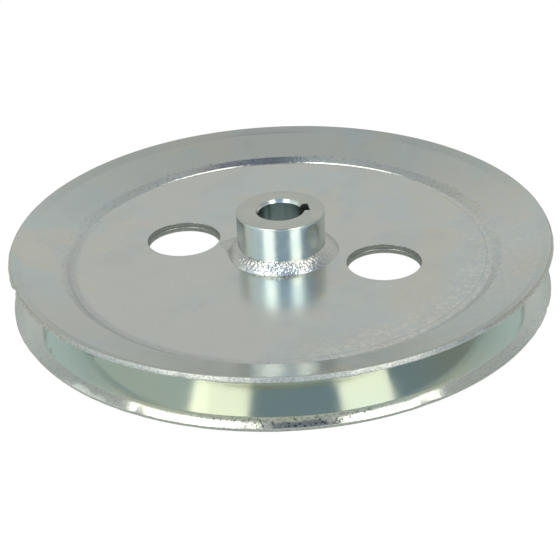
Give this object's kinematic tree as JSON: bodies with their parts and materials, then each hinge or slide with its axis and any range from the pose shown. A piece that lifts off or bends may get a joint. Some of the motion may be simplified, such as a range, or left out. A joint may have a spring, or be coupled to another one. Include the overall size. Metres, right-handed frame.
{
  "type": "v belt pulley",
  "caption": "Pressed-steel V-belt pulley: two back-to-back discs with a belt groove, two web holes and a welded, keyed hub.",
  "frame": {"origin": "on the shaft axis, in the plane of the lower rim, on which the pulley stands", "axes": "+Z along the shaft axis, towards the long end of the hub; +X roughly towards the keyway"},
  "size_m": [0.183, 0.183, 0.0266],
  "materials": {
    "zinc_plated_sheet": "bright zinc plate with faint blue and straw passivation tints, semi-gloss",
    "zinc_plated_hub": "bright zinc plate on a turned surface, glossy",
    "zinc_plated_weld": "bright zinc plate over a rippled weld bead"
  },
  "bodies": {
    "root": {"upper_disc": "zinc_plated_sheet", "lower_disc": "zinc_plated_sheet", "hub": "zinc_plated_hub", "upper_weld_bead": "zinc_plated_weld", "lower_weld_bead": "zinc_plated_weld"}
  },
  "joints": []
}
